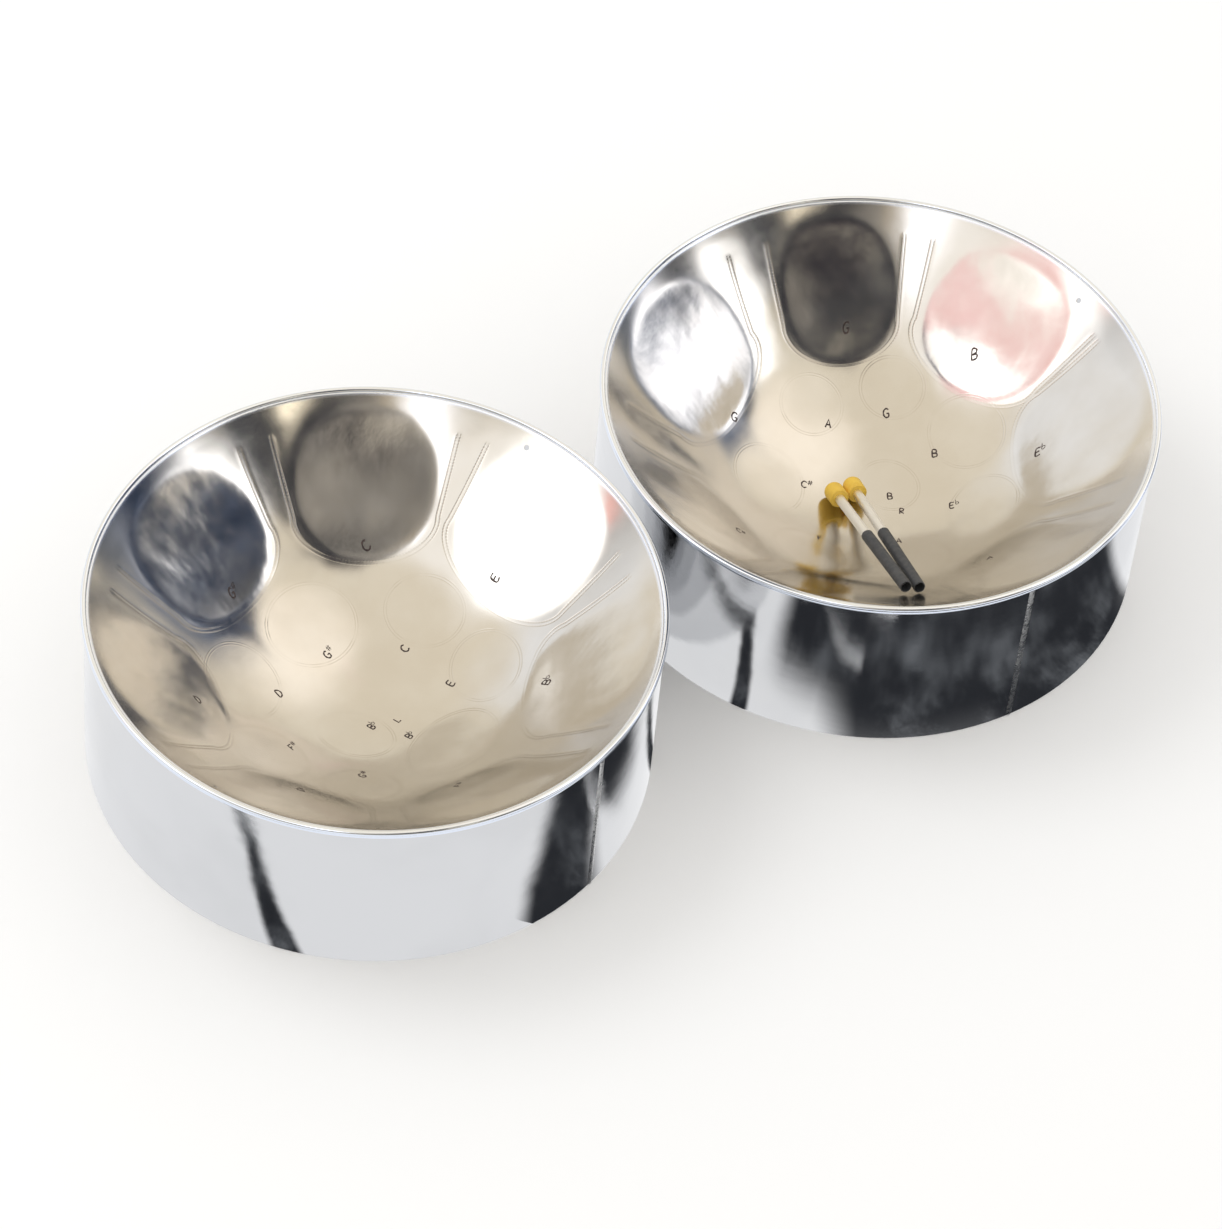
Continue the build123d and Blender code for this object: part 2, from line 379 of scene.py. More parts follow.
def make_rim(side):
    """The rolled chime, finely turned: an upright seam under a round bead, with a shallow step between."""
    low, inner, outer = CHIME_LOW, CHIME_INNER, CHIME_OUTER
    bead_r, bead_z = (inner + outer) / 2 + 0.4, CHIME_TOP - BEAD_R
    outline = [(inner, low), (inner + 2.6, low), (outer - 0.5, low), (outer, low + 0.5),
               (outer, bead_z - 2.1), (outer - 0.25, bead_z - 1.7)]
    for step in range(25):
        turn = math.radians(-30 + 240 * step / 24)
        outline.append((bead_r + BEAD_R * math.cos(turn), bead_z + BEAD_R * math.sin(turn)))
    outline.append((inner, bead_z - 1.5))
    count = 540
    vertices, faces = [], []
    for i in range(count):
        turn = 2 * math.pi * i / count
        vertices += [(r * math.cos(turn), r * math.sin(turn), z) for r, z in outline]
    wide = len(outline)
    for i in range(count):
        j = (i + 1) % count
        for k in range(wide):
            n = (k + 1) % wide
            faces.append((i * wide + k, j * wide + k, j * wide + n, i * wide + n))
    obj = new_mesh(side + "_chime", mm(vertices, side), faces)
    for edge in obj.data.edges:
        a, b = edge.vertices
        edge.use_edge_sharp = a % wide == b % wide and a % wide in (0, 2, 3, wide - 1)
    return obj


# ---------------------------------------------------------------- note names in ink
STROKES = {
    "A": [[(0, 0), (3.2, 10), (6.4, 0)], [(1.2, 3.6), (5.2, 3.6)]],
    "B": [[(0, 0), (0.6, 10), (4.6, 9.6), (5.4, 7.6), (4.4, 5.8), (0.6, 5.2), (5.2, 4.4), (5.8, 2.2),
           (4.6, 0.4), (0, 0)]],
    "C": [[(6, 8.4), (4.4, 9.8), (2, 9.2), (0.3, 6.4), (0.2, 3.2), (1.8, 0.6), (4.2, 0.2), (6, 1.6)]],
    "D": [[(0.2, 0), (0.6, 10), (4.2, 8.8), (6.2, 5.6), (5.4, 2), (3, 0.2), (0.2, 0)]],
    "E": [[(5.4, 9.8), (0.4, 9.6), (0, 0.2), (5.2, 0)], [(0.2, 5.0), (4.4, 5.2)]],
    "F": [[(5.6, 9.8), (0.4, 9.6), (0, 0)], [(0.2, 5.0), (4.2, 5.2)]],
    "G": [[(5.8, 8.6), (4.2, 9.8), (1.8, 9), (0.2, 6.2), (0.2, 3), (1.8, 0.4), (4.4, 0.2), (5.8, 1.8),
           (5.9, 4.4), (3.4, 4.4)]],
    "L": [[(0.2, 10), (0, 0), (5, 0.2)]],
    "R": [[(0, 0), (0.4, 10), (4.6, 9.6), (5.6, 7.4), (4.4, 5.4), (0.4, 5), (5.8, 0)]],
    "#": [[(1.2, 0), (2.0, 6)], [(3.2, 0), (4.0, 6)], [(0, 1.8), (5, 2.4)], [(0.2, 3.9), (5.2, 4.5)]],
    "b": [[(0, 7), (0, 0.2), (2.6, 0.4), (3, 2.4), (1.4, 3.4), (0, 2.8)]],
}
# Name, angle, distance from the axis, cap height
NAMES = {
    "left": [("G#", 117.5, 172, 10), ("C", 63, 166, 11), ("E", 14.5, 174, 10), ("Bb", -35, 175, 10),
             ("F#", -90, 170, 9), ("G#", -143, 180, 9), ("D", 168, 184, 9), ("G#", 98, 73, 9.5),
             ("C", 34, 76, 10), ("E", -14, 83, 9.5), ("Bb", -78, 57, 8.5), ("G#", -124.5, 108, 9),
             ("F#", -167, 108, 9), ("D", 150, 93, 9.5), ("Bb", -118, 28, 8.5), ("L", -64, 32, 8)],
    "right": [("G", 66, 184, 11), ("B", 21, 188, 11), ("Eb", -25, 178, 10), ("A", -79, 176, 9),
              ("F", -131, 184, 9), ("C#", -173, 181, 9), ("G", 123.5, 156, 11), ("G", 46, 108, 10.5),
              ("B", 6, 93, 9.5), ("Eb", -41, 91, 9), ("A", -94, 70, 9), ("F", -158, 84, 8),
              ("C#", 139, 66, 10), ("A", 82, 98, 10), ("B", -20, 27, 9), ("R", -54, 41, 8)],
}
READING = {"left": 24.0, "right": -31.0}


def smooth_path(path, steps=5):
    """A rounded line through the points (Catmull-Rom)."""
    path = [np.array(p, float) for p in path]
    if len(path) < 4:
        return path
    out = []
    for i in range(len(path) - 1):
        p0, p1, p2, p3 = path[max(i - 1, 0)], path[i], path[i + 1], path[min(i + 2, len(path) - 1)]
        for k in range(steps):
            t = k / steps
            out.append(0.5 * (2 * p1 + (p2 - p0) * t + (2 * p0 - 5 * p1 + 4 * p2 - p3) * t * t
                              + (3 * p1 - p0 - 3 * p2 + p3) * t ** 3))
    out.append(path[-1])
    return out


def make_names(side):
    """Pen strokes of the note names, as thin ribbons lying on the sheet."""
    vertices, faces = [], []
    turn = math.radians(READING[side])
    right = np.array([math.cos(turn), math.sin(turn)])
    up = np.array([-math.sin(turn), math.cos(turn)])
    rng = np.random.RandomState(4)
    for name, angle, reach, height in NAMES[side]:
        middle = np.array([reach * math.cos(math.radians(angle)), reach * math.sin(math.radians(angle))])
        scale = height / 11.2
        pen = 0.82 * (0.6 + 0.4 * scale)
        cursor = -3.0 * scale
        tilt = rng.uniform(-0.10, 0.10)
        for letter in name:
            size = scale * (1.15 if letter in "#b" else 1.0)
            drop = (0.6 if letter in "#b" else -5.0) * scale
            thick = pen * (0.50 if letter in "#b" else 1.0)
            for stroke in STROKES[letter]:
                path = smooth_path(stroke)
                flat = []
                for px, py in path:
                    lx = cursor + px * size + tilt * py * size
                    ly = drop + py * size
                    flat.append(middle + right * lx + up * ly)
                flat = np.array(flat)
                along = np.gradient(flat, axis=0)
                along /= np.linalg.norm(along, axis=1)[:, None] + 1e-9
                beside = np.stack([-along[:, 1], along[:, 0]], -1)
                width = thick * (1 + 0.18 * np.sin(np.arange(len(flat)) * 0.9 + angle))
                start = len(vertices)
                a = flat + beside * width[:, None]
                b = flat - beside * width[:, None]
                low_a = sheet_points(side, a[:, 0], a[:, 1], 0.05)
                mid = sheet_points(side, flat[:, 0], flat[:, 1], 0.12)
                low_b = sheet_points(side, b[:, 0], b[:, 1], 0.05)
                for k in range(len(flat)):
                    vertices += [low_a[k], mid[k], low_b[k]]
                for k in range(len(flat) - 1):
                    i = start + 3 * k
                    faces.append((i, i + 3, i + 4, i + 1))
                    faces.append((i + 1, i + 4, i + 5, i + 2))
            cursor += (7.6 if letter not in "#b" else 5.0) * size
    faces = [tuple(reversed(f)) for f in faces]
    return new_mesh(side + "_note_names", mm(np.array(vertices), side), faces)


# ---------------------------------------------------------------- materials
class Nodes:
    """Short spellings for building a node tree."""

    def __init__(self, tree):
        self.tree = tree

    def add(self, kind, **values):
        node = self.tree.nodes.new(kind)
        for key, value in values.items():
            setattr(node, key, value)
        return node

    def put(self, socket, value):
        if isinstance(value, bpy.types.NodeSocket):
            self.tree.links.new(value, socket)
        elif value is not None:
            socket.default_value = value

    def math(self, operation, a, b=None, c=None):
        node = self.add("ShaderNodeMath", operation=operation)
        for socket, value in zip(node.inputs, (a, b, c)):
            self.put(socket, value)
        return node.outputs[0]

    def remap(self, value, low, high, to_low=0.0, to_high=1.0):
        node = self.add("ShaderNodeMapRange", interpolation_type="SMOOTHSTEP")
        numbers = {"Value": value, "From Min": low, "From Max": high, "To Min": to_low, "To Max": to_high}
        for name, number in numbers.items():
            self.put(node.inputs[name], number)
        return node.outputs[0]

    def noise(self, place, scale, detail=3.0, rough=0.5):
        node = self.add("ShaderNodeTexNoise")
        self.put(node.inputs["Vector"], place)
        self.put(node.inputs["Scale"], scale)
        self.put(node.inputs["Detail"], detail)
        self.put(node.inputs["Roughness"], rough)
        return node.outputs["Fac"]

    def blend(self, factor, a, b):
        node = self.add("ShaderNodeMix", data_type="RGBA", blend_type="MIX")
        self.put(node.inputs[0], factor)
        self.put(node.inputs[6], a)
        self.put(node.inputs[7], b)
        return node.outputs[2]

    def scaled(self, place, scale):
        node = self.add("ShaderNodeMapping")
        self.put(node.inputs["Vector"], place)
        node.inputs["Scale"].default_value = scale
        return node.outputs[0]

    def bump(self, height, strength, distance, normal=None):
        node = self.add("ShaderNodeBump")
        self.put(node.inputs["Height"], height)
        node.inputs["Strength"].default_value = strength
        node.inputs["Distance"].default_value = distance
        if normal is not None:
            self.put(node.inputs["Normal"], normal)
        return node.outputs[0]

    def attribute(self, name):
        return self.add("ShaderNodeAttribute", attribute_name=name).outputs["Fac"]


def material(name, colour, metallic, roughness):
    """A new material, with its node kit, its shader and the object's own coordinates."""
    mat = bpy.data.materials.new(name)
    mat.use_nodes = True
    kit = Nodes(mat.node_tree)
    shader = mat.node_tree.nodes["Principled BSDF"]
    shader.inputs["Base Color"].default_value = (*colour, 1)
    shader.inputs["Metallic"].default_value = metallic
    shader.inputs["Roughness"].default_value = roughness
    place = kit.add("ShaderNodeTexCoord").outputs["Object"]
    return mat, kit, shader, place


def bowl_metal():
    mat, kit, shader, place = material("bowl_chrome", (0.66, 0.65, 0.63), 1.0, 0.15)
    edge, run, ring = kit.attribute("edge"), kit.attribute("run"), kit.attribute("ring")
    worked, fade, top = kit.attribute("worked"), kit.attribute("fade"), kit.attribute("top_face")
    # Brushing runs round the drum, with broad cloudy patches
    cloud = kit.noise(place, 9.0, 4.0, 0.6)
    fine = kit.noise(kit.scaled(place, (60, 60, 400)), 9.0, 3.0, 0.6)
    # Two rows of punched dots beside each outer note's groove
    dots = kit.remap(kit.math("ABSOLUTE", kit.math("SINE", run)), 0.25, 0.75)
    row_a = kit.remap(kit.math("ABSOLUTE", edge), 0.45, 1.0, 1.0, 0.0)
    row_b = kit.remap(kit.math("ABSOLUTE", kit.math("SUBTRACT", edge, 3.6)), 0.45, 1.0, 1.0, 0.0)
    rows = kit.math("MULTIPLY", kit.math("MAXIMUM", row_a, row_b), fade)
    punched = kit.math("MULTIPLY", rows, dots)
    # Two thin scribed lines round each inner note
    line_a = kit.remap(kit.math("ABSOLUTE", kit.math("SUBTRACT", ring, 0.5)), 0.25, 0.75, 1.0, 0.0)
    line_b = kit.remap(kit.math("ABSOLUTE", kit.math("SUBTRACT", ring, 3.2)), 0.25, 0.75, 1.0, 0.0)
    broken = kit.remap(kit.noise(place, 30.0, 2.0), 0.42, 0.58, 0.25, 1.0)
    scribed = kit.math("MULTIPLY", kit.math("MAXIMUM", line_a, line_b), broken)
    cut = kit.math("MAXIMUM", kit.math("MULTIPLY", rows, 0.42), kit.math("MULTIPLY", scribed, 0.28))
    cut = kit.math("MULTIPLY", cut, top)
    # The punched dots and scribed lines are coloured darker
    darker_marks = kit.math("MAXIMUM", punched, kit.math("MULTIPLY", scribed, 0.40))
    darker_marks = kit.math("MULTIPLY", darker_marks, top)
    colour = kit.blend(kit.remap(cloud, 0.3, 0.7), (0.68, 0.665, 0.64, 1), (0.635, 0.61, 0.57, 1))
    colour = kit.blend(kit.math("MULTIPLY", darker_marks, 0.45), colour, (0.32, 0.26, 0.19, 1))
    border = kit.attribute("border")
    colour = kit.blend(border, colour, (0.80, 0.85, 0.95, 1))
    kit.put(shader.inputs["Base Color"], colour)
    rough = kit.remap(kit.noise(place, 22.0, 5.0, 0.65), 0.3, 0.75, 0.13, 0.21)
    rough = kit.math("ADD", rough, kit.math("MULTIPLY", cut, 0.15))
    rough = kit.math("ADD", rough, kit.math("MULTIPLY", border, 0.12))
    kit.put(shader.inputs["Roughness"], rough)
    height = kit.math("SUBTRACT", kit.math("MULTIPLY", fine, 0.035), kit.math("MULTIPLY", cut, 0.9))
    height = kit.math("SUBTRACT", height, kit.math("MULTIPLY", punched, 0.6))
    pits = kit.math("MULTIPLY", kit.noise(place, 260.0, 2.0), kit.math("MULTIPLY_ADD", worked, 0.10, 0.02))
    height = kit.math("ADD", height, pits)
    kit.put(shader.inputs["Normal"], kit.bump(height, 0.5, 0.0004))
    return mat


def skirt_metal():
    mat, kit, shader, place = material("skirt_chrome", (0.72, 0.725, 0.73), 1.0, 0.08)
    wave = kit.noise(kit.scaled(place, (1, 1, 1.6)), 16.0, 2.0, 0.4)
    scratch = kit.noise(kit.scaled(place, (8, 8, 300)), 14.0, 3.0, 0.6)
    rough = kit.remap(kit.noise(place, 26.0, 5.0, 0.6), 0.35, 0.75, 0.06, 0.13)
    kit.put(shader.inputs["Roughness"], rough)
    patchy = kit.remap(kit.noise(place, 7.0, 3.0), 0.35, 0.7)
    tint = kit.blend(patchy, (0.735, 0.74, 0.75, 1), (0.69, 0.695, 0.705, 1))
    kit.put(shader.inputs["Base Color"], tint)
    soft_wave = kit.bump(wave, 0.10, 0.004)
    kit.put(shader.inputs["Normal"], kit.bump(scratch, 0.05, 0.0004, soft_wave))
    return mat


def rim_metal():
    mat, kit, shader, place = material("rim_chrome", (0.82, 0.87, 0.96), 1.0, 0.12)
    rough = kit.remap(kit.noise(place, 60.0, 4.0, 0.6), 0.35, 0.75, 0.09, 0.2)
    kit.put(shader.inputs["Roughness"], rough)
    kit.put(shader.inputs["Normal"], kit.bump(kit.noise(place, 60.0, 3.0), 0.04, 0.0006))
    return mat


def weld_metal():
    mat, kit, shader, place = material("weld", (0.74, 0.74, 0.73), 1.0, 0.25)
    rough = kit.remap(kit.noise(place, 200.0, 3.0), 0.3, 0.7, 0.18, 0.45)
    kit.put(shader.inputs["Roughness"], rough)
    kit.put(shader.inputs["Normal"], kit.bump(kit.noise(place, 420.0, 4.0, 0.6), 0.7, 0.0008))
    return mat


def tip_rubber():
    mat, kit, shader, place = material("tip_rubber", (0.80, 0.52, 0.07), 0.0, 0.6)
    patchy = kit.remap(kit.noise(place, 70.0, 4.0, 0.6), 0.35, 0.7)
    tint = kit.blend(patchy, (0.84, 0.55, 0.075, 1), (0.76, 0.48, 0.06, 1))
    kit.put(shader.inputs["Base Color"], tint)
    kit.put(shader.inputs["Roughness"], kit.remap(kit.noise(place, 300.0, 2.0), 0.3, 0.7, 0.5, 0.72))
    kit.put(shader.inputs["Normal"], kit.bump(kit.noise(place, 900.0, 3.0, 0.6), 0.25, 0.00003))
    return mat


def grip_rubber():
    mat, kit, shader, place = material("grip_rubber", (0.045, 0.047, 0.05), 0.0, 0.55)
    tint = kit.blend(kit.noise(place, 120.0, 4.0, 0.6), (0.040, 0.042, 0.046, 1), (0.066, 0.068, 0.072, 1))
    kit.put(shader.inputs["Base Color"], tint)
    kit.put(shader.inputs["Roughness"], kit.remap(kit.noise(place, 200.0, 3.0), 0.3, 0.7, 0.45, 0.7))
    kit.put(shader.inputs["Normal"], kit.bump(kit.noise(place, 1100.0, 3.0, 0.6), 0.30, 0.00003))
    return mat


def shaft_metal():
    mat, kit, shader, place = material("shaft_aluminium", (0.93, 0.935, 0.94), 1.0, 0.38)
    rough = kit.remap(kit.noise(place, 90.0, 3.0), 0.3, 0.7, 0.33, 0.44)
    kit.put(shader.inputs["Roughness"], rough)
    kit.put(shader.inputs["Normal"], kit.bump(kit.noise(place, 700.0, 3.0), 0.2, 0.00002))
    return mat


def ink():
    mat, kit, shader, place = material("ink", (0.035, 0.022, 0.02), 0.0, 0.55)
    patchy = kit.remap(kit.noise(place, 500.0, 3.0), 0.35, 0.65)
    tint = kit.blend(patchy, (0.02, 0.014, 0.014, 1), (0.075, 0.045, 0.04, 1))
    kit.put(shader.inputs["Base Color"], tint)
    return mat


MATERIALS = {
    "bowl_chrome": bowl_metal(),
    "skirt_chrome": skirt_metal(),
    "rim_chrome": rim_metal(),
    "weld": weld_metal(),
    "tip_rubber": tip_rubber(),
    "grip_rubber": grip_rubber(),
    "shaft_aluminium": shaft_metal(),
    "ink": ink(),
}

# ---------------------------------------------------------------- pieces on the frame
for side in SIDES:
    body = side + "_drum"
    bowl = make_bowl(side)
    bowl.data.materials.append(MATERIALS["bowl_chrome"])
    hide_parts(side + "_head")
    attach(bowl, body)
    rim = make_rim(side)
    rim.data.materials.append(MATERIALS["rim_chrome"])
    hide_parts(side + "_rim")
    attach(rim, body)
    names = make_names(side)
    names.data.materials.append(MATERIALS["ink"])
    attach(names, body)

NODE_MATERIALS = {
    "head": "bowl_chrome", "rim": "rim_chrome", "skirt": "skirt_chrome", "seam": "weld",
    "tip": "tip_rubber", "shaft": "shaft_aluminium", "grip": "grip_rubber",
}
for name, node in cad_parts.items():
    node.data.materials.clear()
    node.data.materials.append(MATERIALS[NODE_MATERIALS[name.split("_")[-1]]])

# ---------------------------------------------------------------- camera, at the photograph's angle
VIEW_TURN = math.radians(-35.8)


def turned(x, y, z):
    """From the viewer's level axes (right, away, up) to the row frame."""
    c, s = math.cos(VIEW_TURN), math.sin(VIEW_TURN)
    return Vector((x * c - y * s, x * s + y * c, z))


PITCH, ROLL = 0.862, 0.105
SENSOR, LENS = 36.0, 152.29
forward = turned(0, math.cos(PITCH), -math.sin(PITCH))
level = turned(1, 0, 0)
upward = level.cross(forward)
right = level * math.cos(ROLL) + upward * math.sin(ROLL)
over = upward * math.cos(ROLL) - level * math.sin(ROLL)
camera_data = bpy.data.cameras.new("camera")
camera = bpy.data.objects.new("camera", camera_data)
bpy.context.scene.collection.objects.link(camera)
place = turned(-0.01095, -3.4805, 4.0784)
camera.matrix_world = Matrix((
    (right.x, over.x, -forward.x, place.x),
    (right.y, over.y, -forward.y, place.y),
    (right.z, over.z, -forward.z, place.z),
    (0, 0, 0, 1),
))
camera_data.sensor_width = SENSOR
camera_data.lens = LENS
camera_data.clip_end = 50
bpy.context.scene.camera = camera

# ---------------------------------------------------------------- floor, surroundings and light
scene = bpy.context.scene
scene.view_settings.view_transform = "Standard"

floor_corners = [(x, y, -0.0006) for x, y in ((-9, -9), (9, -9), (9, 9), (-9, 9))]
floor = new_mesh("floor", floor_corners, [(0, 1, 2, 3)], False)
floor_mat, _, floor_shader, _ = material("floor", (0.93, 0.93, 0.93), 0.0, 0.9)
floor_shader.inputs["Specular IOR Level"].default_value = 0.0
floor.data.materials.append(floor_mat)
floor.visible_glossy = False

world = bpy.data.worlds.new("studio")
scene.world = world
world.use_nodes = True
sky = Nodes(world.node_tree)
direction = sky.add("ShaderNodeTexCoord").outputs["Generated"]
unit = sky.add("ShaderNodeVectorMath", operation="NORMALIZE")
sky.put(unit.inputs[0], direction)
unit = unit.outputs[0]
# Wobble the directions a little, so that the reflected patches have uneven edges
WOBBLE = 0.22
wobble = sky.add("ShaderNodeTexNoise")
sky.put(wobble.inputs["Vector"], unit)
wobble.inputs["Scale"].default_value = 3.5
wobble.inputs["Detail"].default_value = 4
shifted = sky.add("ShaderNodeVectorMath", operation="MULTIPLY_ADD")
sky.put(shifted.inputs[0], wobble.outputs["Color"])
shifted.inputs[1].default_value = (WOBBLE, WOBBLE, WOBBLE)
sky.put(shifted.inputs[2], unit)
centred = sky.add("ShaderNodeVectorMath", operation="SUBTRACT")
sky.put(centred.inputs[0], shifted.outputs[0])
centred.inputs[1].default_value = (WOBBLE / 2, WOBBLE / 2, WOBBLE / 2)
bent = sky.add("ShaderNodeVectorMath", operation="NORMALIZE")
sky.put(bent.inputs[0], centred.outputs[0])
bent = bent.outputs[0]


def towards(azimuth, elevation):
    """A direction, with azimuth counted from the viewer's right, anticlockwise from above."""
    a, e = math.radians(azimuth), math.radians(elevation)
    return turned(math.cos(a) * math.cos(e), math.sin(a) * math.cos(e), math.sin(e))


# Patches of the surroundings, as seen from the viewer's own axes: azimuth and elevation of the
# middle, half width and half height (degrees), softness (a share of the size), colour
PATCHES = [
    (38, 52, 34, 24, 0.60, (1.45, 1.32, 1.14)),
    (-135, 49, 48, 15, 0.45, (1.34, 1.29, 1.22)),
    (165, 22, 32, 16, 0.60, (1.15, 1.15, 1.16)),
    (-90, 19, 92, 13, 0.40, (0.20, 0.19, 0.17)),
    (-162, 36, 20, 15, 0.45, (2.8, 2.8, 2.8)),
    (-59, 44, 29, 16, 0.25, (0.062, 0.062, 0.068)),
    (-34, 36, 13, 12, 0.30, (0.065, 0.067, 0.075)),
    (-80, 48, 8, 11, 0.60, (0.36, 0.33, 0.29)),
    (-60, 58, 18, 6, 0.50, (0.036, 0.032, 0.042)),
    (-52, 33, 7, 4.5, 0.40, (2.3, 2.05, 1.6)),
    (-86, 40, 3, 7, 0.60, (0.62, 0.53, 0.40)),
    (18, 22, 26, 15, 0.40, (0.14, 0.18, 0.27)),
    (18, 21, 11, 8, 0.45, (2.2, 2.2, 2.3)),
    (-20, 19, 32, 8, 0.40, (0.07, 0.07, 0.075)),
    (-9, 34, 13, 7.5, 0.40, (2.9, 2.9, 2.95)),
    (16, 36, 10, 5, 0.40, (0.050, 0.065, 0.10)),
    (14, 4, 26, 7, 0.40, (0.12, 0.14, 0.18)),
    (-176, 20, 3.5, 2.0, 0.60, (1.4, 0.70, 0.62)),
    (-102, 42, 9, 11, 0.50, (2.3, 2.3, 2.4)),
]
split = sky.add("ShaderNodeSeparateXYZ")
sky.put(split.inputs[0], bent)
parts = []
for axis in (turned(1, 0, 0), turned(0, 1, 0)):
    dot = sky.add("ShaderNodeVectorMath", operation="DOT_PRODUCT")
    sky.put(dot.inputs[0], bent)
    dot.inputs[1].default_value = axis
    parts.append(dot.outputs["Value"])
bearing = sky.add("ShaderNodeCombineXYZ")
sky.put(bearing.inputs[0], sky.math("ARCTAN2", parts[1], parts[0]))
sky.put(bearing.inputs[1], sky.math("ARCSINE", split.outputs["Z"]))
colour = sky.blend(sky.remap(split.outputs["Z"], 0.0, 0.9), (0.95, 0.86, 0.70, 1), (1.03, 0.93, 0.76, 1))
for azimuth, elevation, half_width, half_height, softness, tint in PATCHES:
    away = sky.add("ShaderNodeVectorMath", operation="SUBTRACT")
    sky.put(away.inputs[0], bearing.outputs[0])
    away.inputs[1].default_value = (math.radians(azimuth), math.radians(elevation), 0)
    wrapped = sky.add("ShaderNodeVectorMath", operation="WRAP")
    sky.put(wrapped.inputs[0], away.outputs[0])
    wrapped.inputs[1].default_value = (math.pi, math.pi, math.pi)
    wrapped.inputs[2].default_value = (-math.pi, -math.pi, -math.pi)
    share = sky.add("ShaderNodeVectorMath", operation="MULTIPLY")
    sky.put(share.inputs[0], wrapped.outputs[0])
    share.inputs[1].default_value = (1 / math.radians(half_width), 1 / math.radians(half_height), 0)
    size = sky.add("ShaderNodeVectorMath", operation="LENGTH")
    sky.put(size.inputs[0], share.outputs[0])
    inside = sky.remap(size.outputs["Value"], 1 + softness, 1 - softness)
    colour = sky.blend(inside, colour, (*tint, 1))
seen = sky.add("ShaderNodeBackground")
sky.put(seen.inputs["Color"], colour)
plain = sky.add("ShaderNodeBackground")
plain.inputs["Color"].default_value = (0.97, 0.97, 0.97, 1)
paths = sky.add("ShaderNodeLightPath")
even = sky.add("ShaderNodeBackground")
even.inputs["Color"].default_value = (1.0, 0.99, 0.97, 1)
choose = sky.add("ShaderNodeMixShader")
sky.put(choose.inputs[0], paths.outputs["Is Glossy Ray"])
sky.put(choose.inputs[1], even.outputs[0])
sky.put(choose.inputs[2], seen.outputs[0])
final = sky.add("ShaderNodeMixShader")
sky.put(final.inputs[0], paths.outputs["Is Camera Ray"])
sky.put(final.inputs[1], choose.outputs[0])
sky.put(final.inputs[2], plain.outputs[0])
sky.put(world.node_tree.nodes["World Output"].inputs["Surface"], final.outputs[0])


def card_material(name, tint, mottle, mottle_tint):
    """A painted-reflection card: it glows evenly, though it is no lamp, and fades out at its border."""
    mat = bpy.data.materials.new(name)
    mat.use_nodes = True
    kit = Nodes(mat.node_tree)
    kit.tree.nodes.clear()
    glow = kit.add("ShaderNodeEmission")
    place = kit.add("ShaderNodeTexCoord").outputs["Object"]
    spots = kit.remap(kit.noise(place, mottle, 6.0, 0.68), 0.47, 0.76)
    kit.put(glow.inputs["Color"], kit.blend(spots, (*tint, 1), (*mottle_tint, 1)))
    clear = kit.add("ShaderNodeBsdfTransparent")
    mix = kit.add("ShaderNodeMixShader")
    kit.put(mix.inputs[0], kit.remap(kit.attribute("cover"), 0.0, 1.0))
    kit.put(mix.inputs[1], clear.outputs[0])
    kit.put(mix.inputs[2], glow.outputs[0])
    kit.put(kit.add("ShaderNodeOutputMaterial").inputs["Surface"], mix.outputs[0])
    return mat


def card(name, rows, mat):
    """A painted reflection: a glowing sheet of cross rows of points with their cover, seen only in
    reflections.
    """
    vertices = [point for row in rows for point, cover in row]
    wide = len(rows[0])
    faces = []
    for r in range(len(rows) - 1):
        for c in range(wide - 1):
            i = r * wide + c
            faces.append((i, i + 1, i + wide + 1, i + wide))
    obj = new_mesh(name, vertices, faces, False)
    layer = obj.data.attributes.new("cover", "FLOAT", "POINT")
    layer.data.foreach_set("value", [float(cover) for row in rows for point, cover in row])
    obj.data.materials.append(mat)
    obj.visible_camera = False
    obj.visible_diffuse = False
    obj.visible_shadow = False


def painted_reflection_stripe(name, side, line, mat, soft_share=0.35):
    """A painted reflection of a dark band on the floor beside a drum, seen only in reflections, as (distance
    from its axis, angle, half width) along it.
    """
    middle = np.array([[CENTRE_X[side] + r * math.cos(math.radians(a)), r * math.sin(math.radians(a))]
                       for r, a, w in line])
    along = np.gradient(middle, axis=0)
    along /= np.linalg.norm(along, axis=1)[:, None]
    beside = np.stack([-along[:, 1], along[:, 0]], -1)
    inner, outer = 1 - soft_share, 1 + soft_share
    rows = []
    for k, (r, a, w) in enumerate(line):
        row = []
        for share, cover in ((-outer, 0), (-inner, 1), (0, 1), (inner, 1), (outer, 0)):
            x, y = (middle[k] + beside[k] * w * share) / 1000
            row.append(((x, y, -0.0003), cover if 0 < k < len(line) - 1 or r < 300 else 0))
        rows.append(row)
    card(name, rows, mat)


def painted_reflection_patch(name, side, sectors, mat, border):
    """A painted reflection of a dark area on the floor beside a drum, seen only in reflections, as (angle,
    nearest and furthest distance from its axis).

    It starts at full strength under the skirt, and the further off it starts, the more slowly.
    """
    rows = []
    for k, (angle, near, far) in enumerate(sectors):
        row = []
        for share in np.linspace(0, 1, 33):
            reach = (near - 12 + (far - near + 24) * share) / 1000
            past = share * (far - near + 24)
            start = 1 if near < 285 else 0.80 + past / 250 if near < 295 else past / 90
            cover = min(start, (1 - share) / border, 1) if 0 < k < len(sectors) - 1 else 0
            x = CENTRE_X[side] / 1000 + reach * math.cos(math.radians(angle))
            row.append(((x, reach * math.sin(math.radians(angle)), -0.0003), cover))
        rows.append(row)
    card(name, rows, mat)


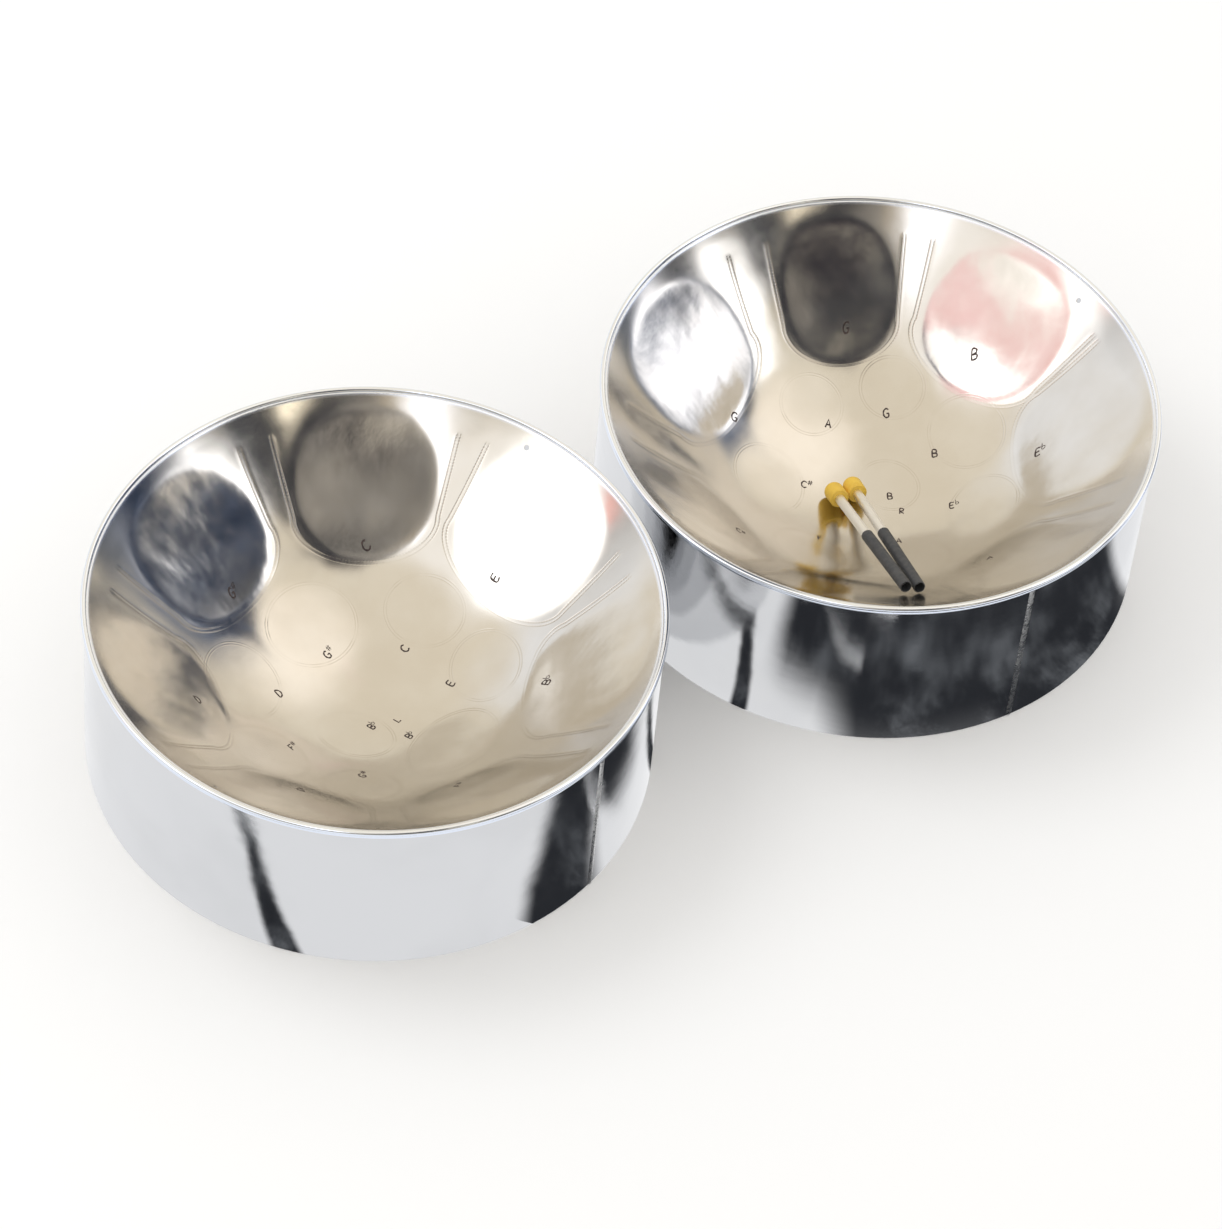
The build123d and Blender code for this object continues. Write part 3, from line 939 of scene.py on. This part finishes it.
def painted_reflection_card(name, side, note, azimuth, elevation, distance, half_width, half_height, hidden_from, mat):
    """A painted reflection: a glowing card in the air, seen in one note's dome in the given direction and
    edge-on to another point.
    """
    angle = math.radians(OUTER[side][note][0])
    start = Vector(mm([OUTER_REACH * math.cos(angle), OUTER_REACH * math.sin(angle), 130.0], side))
    ahead = towards(azimuth, elevation)
    middle = start + ahead * distance
    over = (middle - Vector(hidden_from)).normalized()
    across = over.cross(ahead).normalized()
    rows = []
    for v in range(9):
        row = []
        for u in range(9):
            a, b = u / 4 - 1, v / 4 - 1
            cover = min(max((1.0 - math.hypot(a, b)) / 0.30, 0), 1)
            row.append((tuple(middle + across * (a * half_width) + over * (b * half_height)), cover))
        rows.append(row)
    card(name, rows, mat)


# Painted reflection of the floor: an even glow, seen only in the chrome, without the floor's contact shade
PALE = card_material("painted_reflection_pale", (0.93, 0.935, 0.95), 1.5, (0.97, 0.97, 0.97))
card("painted_floor_reflection", [[((x, y, -0.0005), 1) for x in (-4, 4)] for y in (-4, 4)], PALE)
DARK = card_material("painted_reflection_dark", (0.026, 0.028, 0.033), 7.0, (0.20, 0.21, 0.225))
SLATE = card_material("painted_reflection_slate", (0.014, 0.024, 0.055), 30.0, (0.42, 0.52, 0.74))
PINK = card_material("painted_reflection_pink", (1.30, 0.84, 0.82), 14.0, (1.38, 1.34, 1.38))
# Painted reflections of a dark floor: dark cards lying on the floor, seen only in the skirts' chrome
painted_reflection_stripe("stripe_left_a", "left", [(268, -133, 12), (300, -138, 13), (345, -144.5, 12), (400, -151, 11),
                                       (450, -158, 9), (520, -164, 7)], DARK)
painted_reflection_stripe("stripe_left_b", "left", [(270, -82, 34), (300, -77, 40), (350, -68, 46), (415, -60, 52),
                                       (500, -50, 60), (560, -45, 60)], DARK)
painted_reflection_stripe("stripe_right_a", "right", [(284, -149, 9), (320, -151, 10), (370, -154, 11), (425, -157, 12),
                                         (480, -160, 12)], DARK)
painted_reflection_patch("patch_right", "right", [(-150, 340, 480), (-143, 320, 500), (-134, 302, 500), (-124, 290, 500),
                                     (-112, 288, 500), (-102, 288, 500), (-95, 288, 510), (-90, 283, 520),
                                     (-84, 283, 520), (-76, 283, 520), (-66, 283, 520), (-56, 283, 520),
                                     (-48, 290, 500), (-42, 300, 480)], DARK, 0.18)
# Painted reflections in single domes: a slate card for one left note and a pink card for one right note
painted_reflection_card("slate_left", "left", 0, 14, 26, 0.6, 0.165, 0.15, (0.496, 0.074, 0.13), SLATE)
painted_reflection_card("pink_right", "right", 1, -156, 46, 0.8, 0.14, 0.15, (-0.31, 0.02, 0.045), PINK)


def soft_light(name, position, target, size, energy):
    data = bpy.data.lights.new(name, "AREA")
    data.shape = "DISK"
    data.size = size
    data.energy = energy
    lamp = bpy.data.objects.new(name, data)
    lamp.location = position
    lamp.rotation_euler = (Vector(target) - Vector(position)).to_track_quat("-Z", "Y").to_euler()
    lamp.visible_glossy = False
    scene.collection.objects.link(lamp)


soft_light("key", turned(-2.2, 0.6, 3.4), (0, 0, 0.1), 2.2, 26)
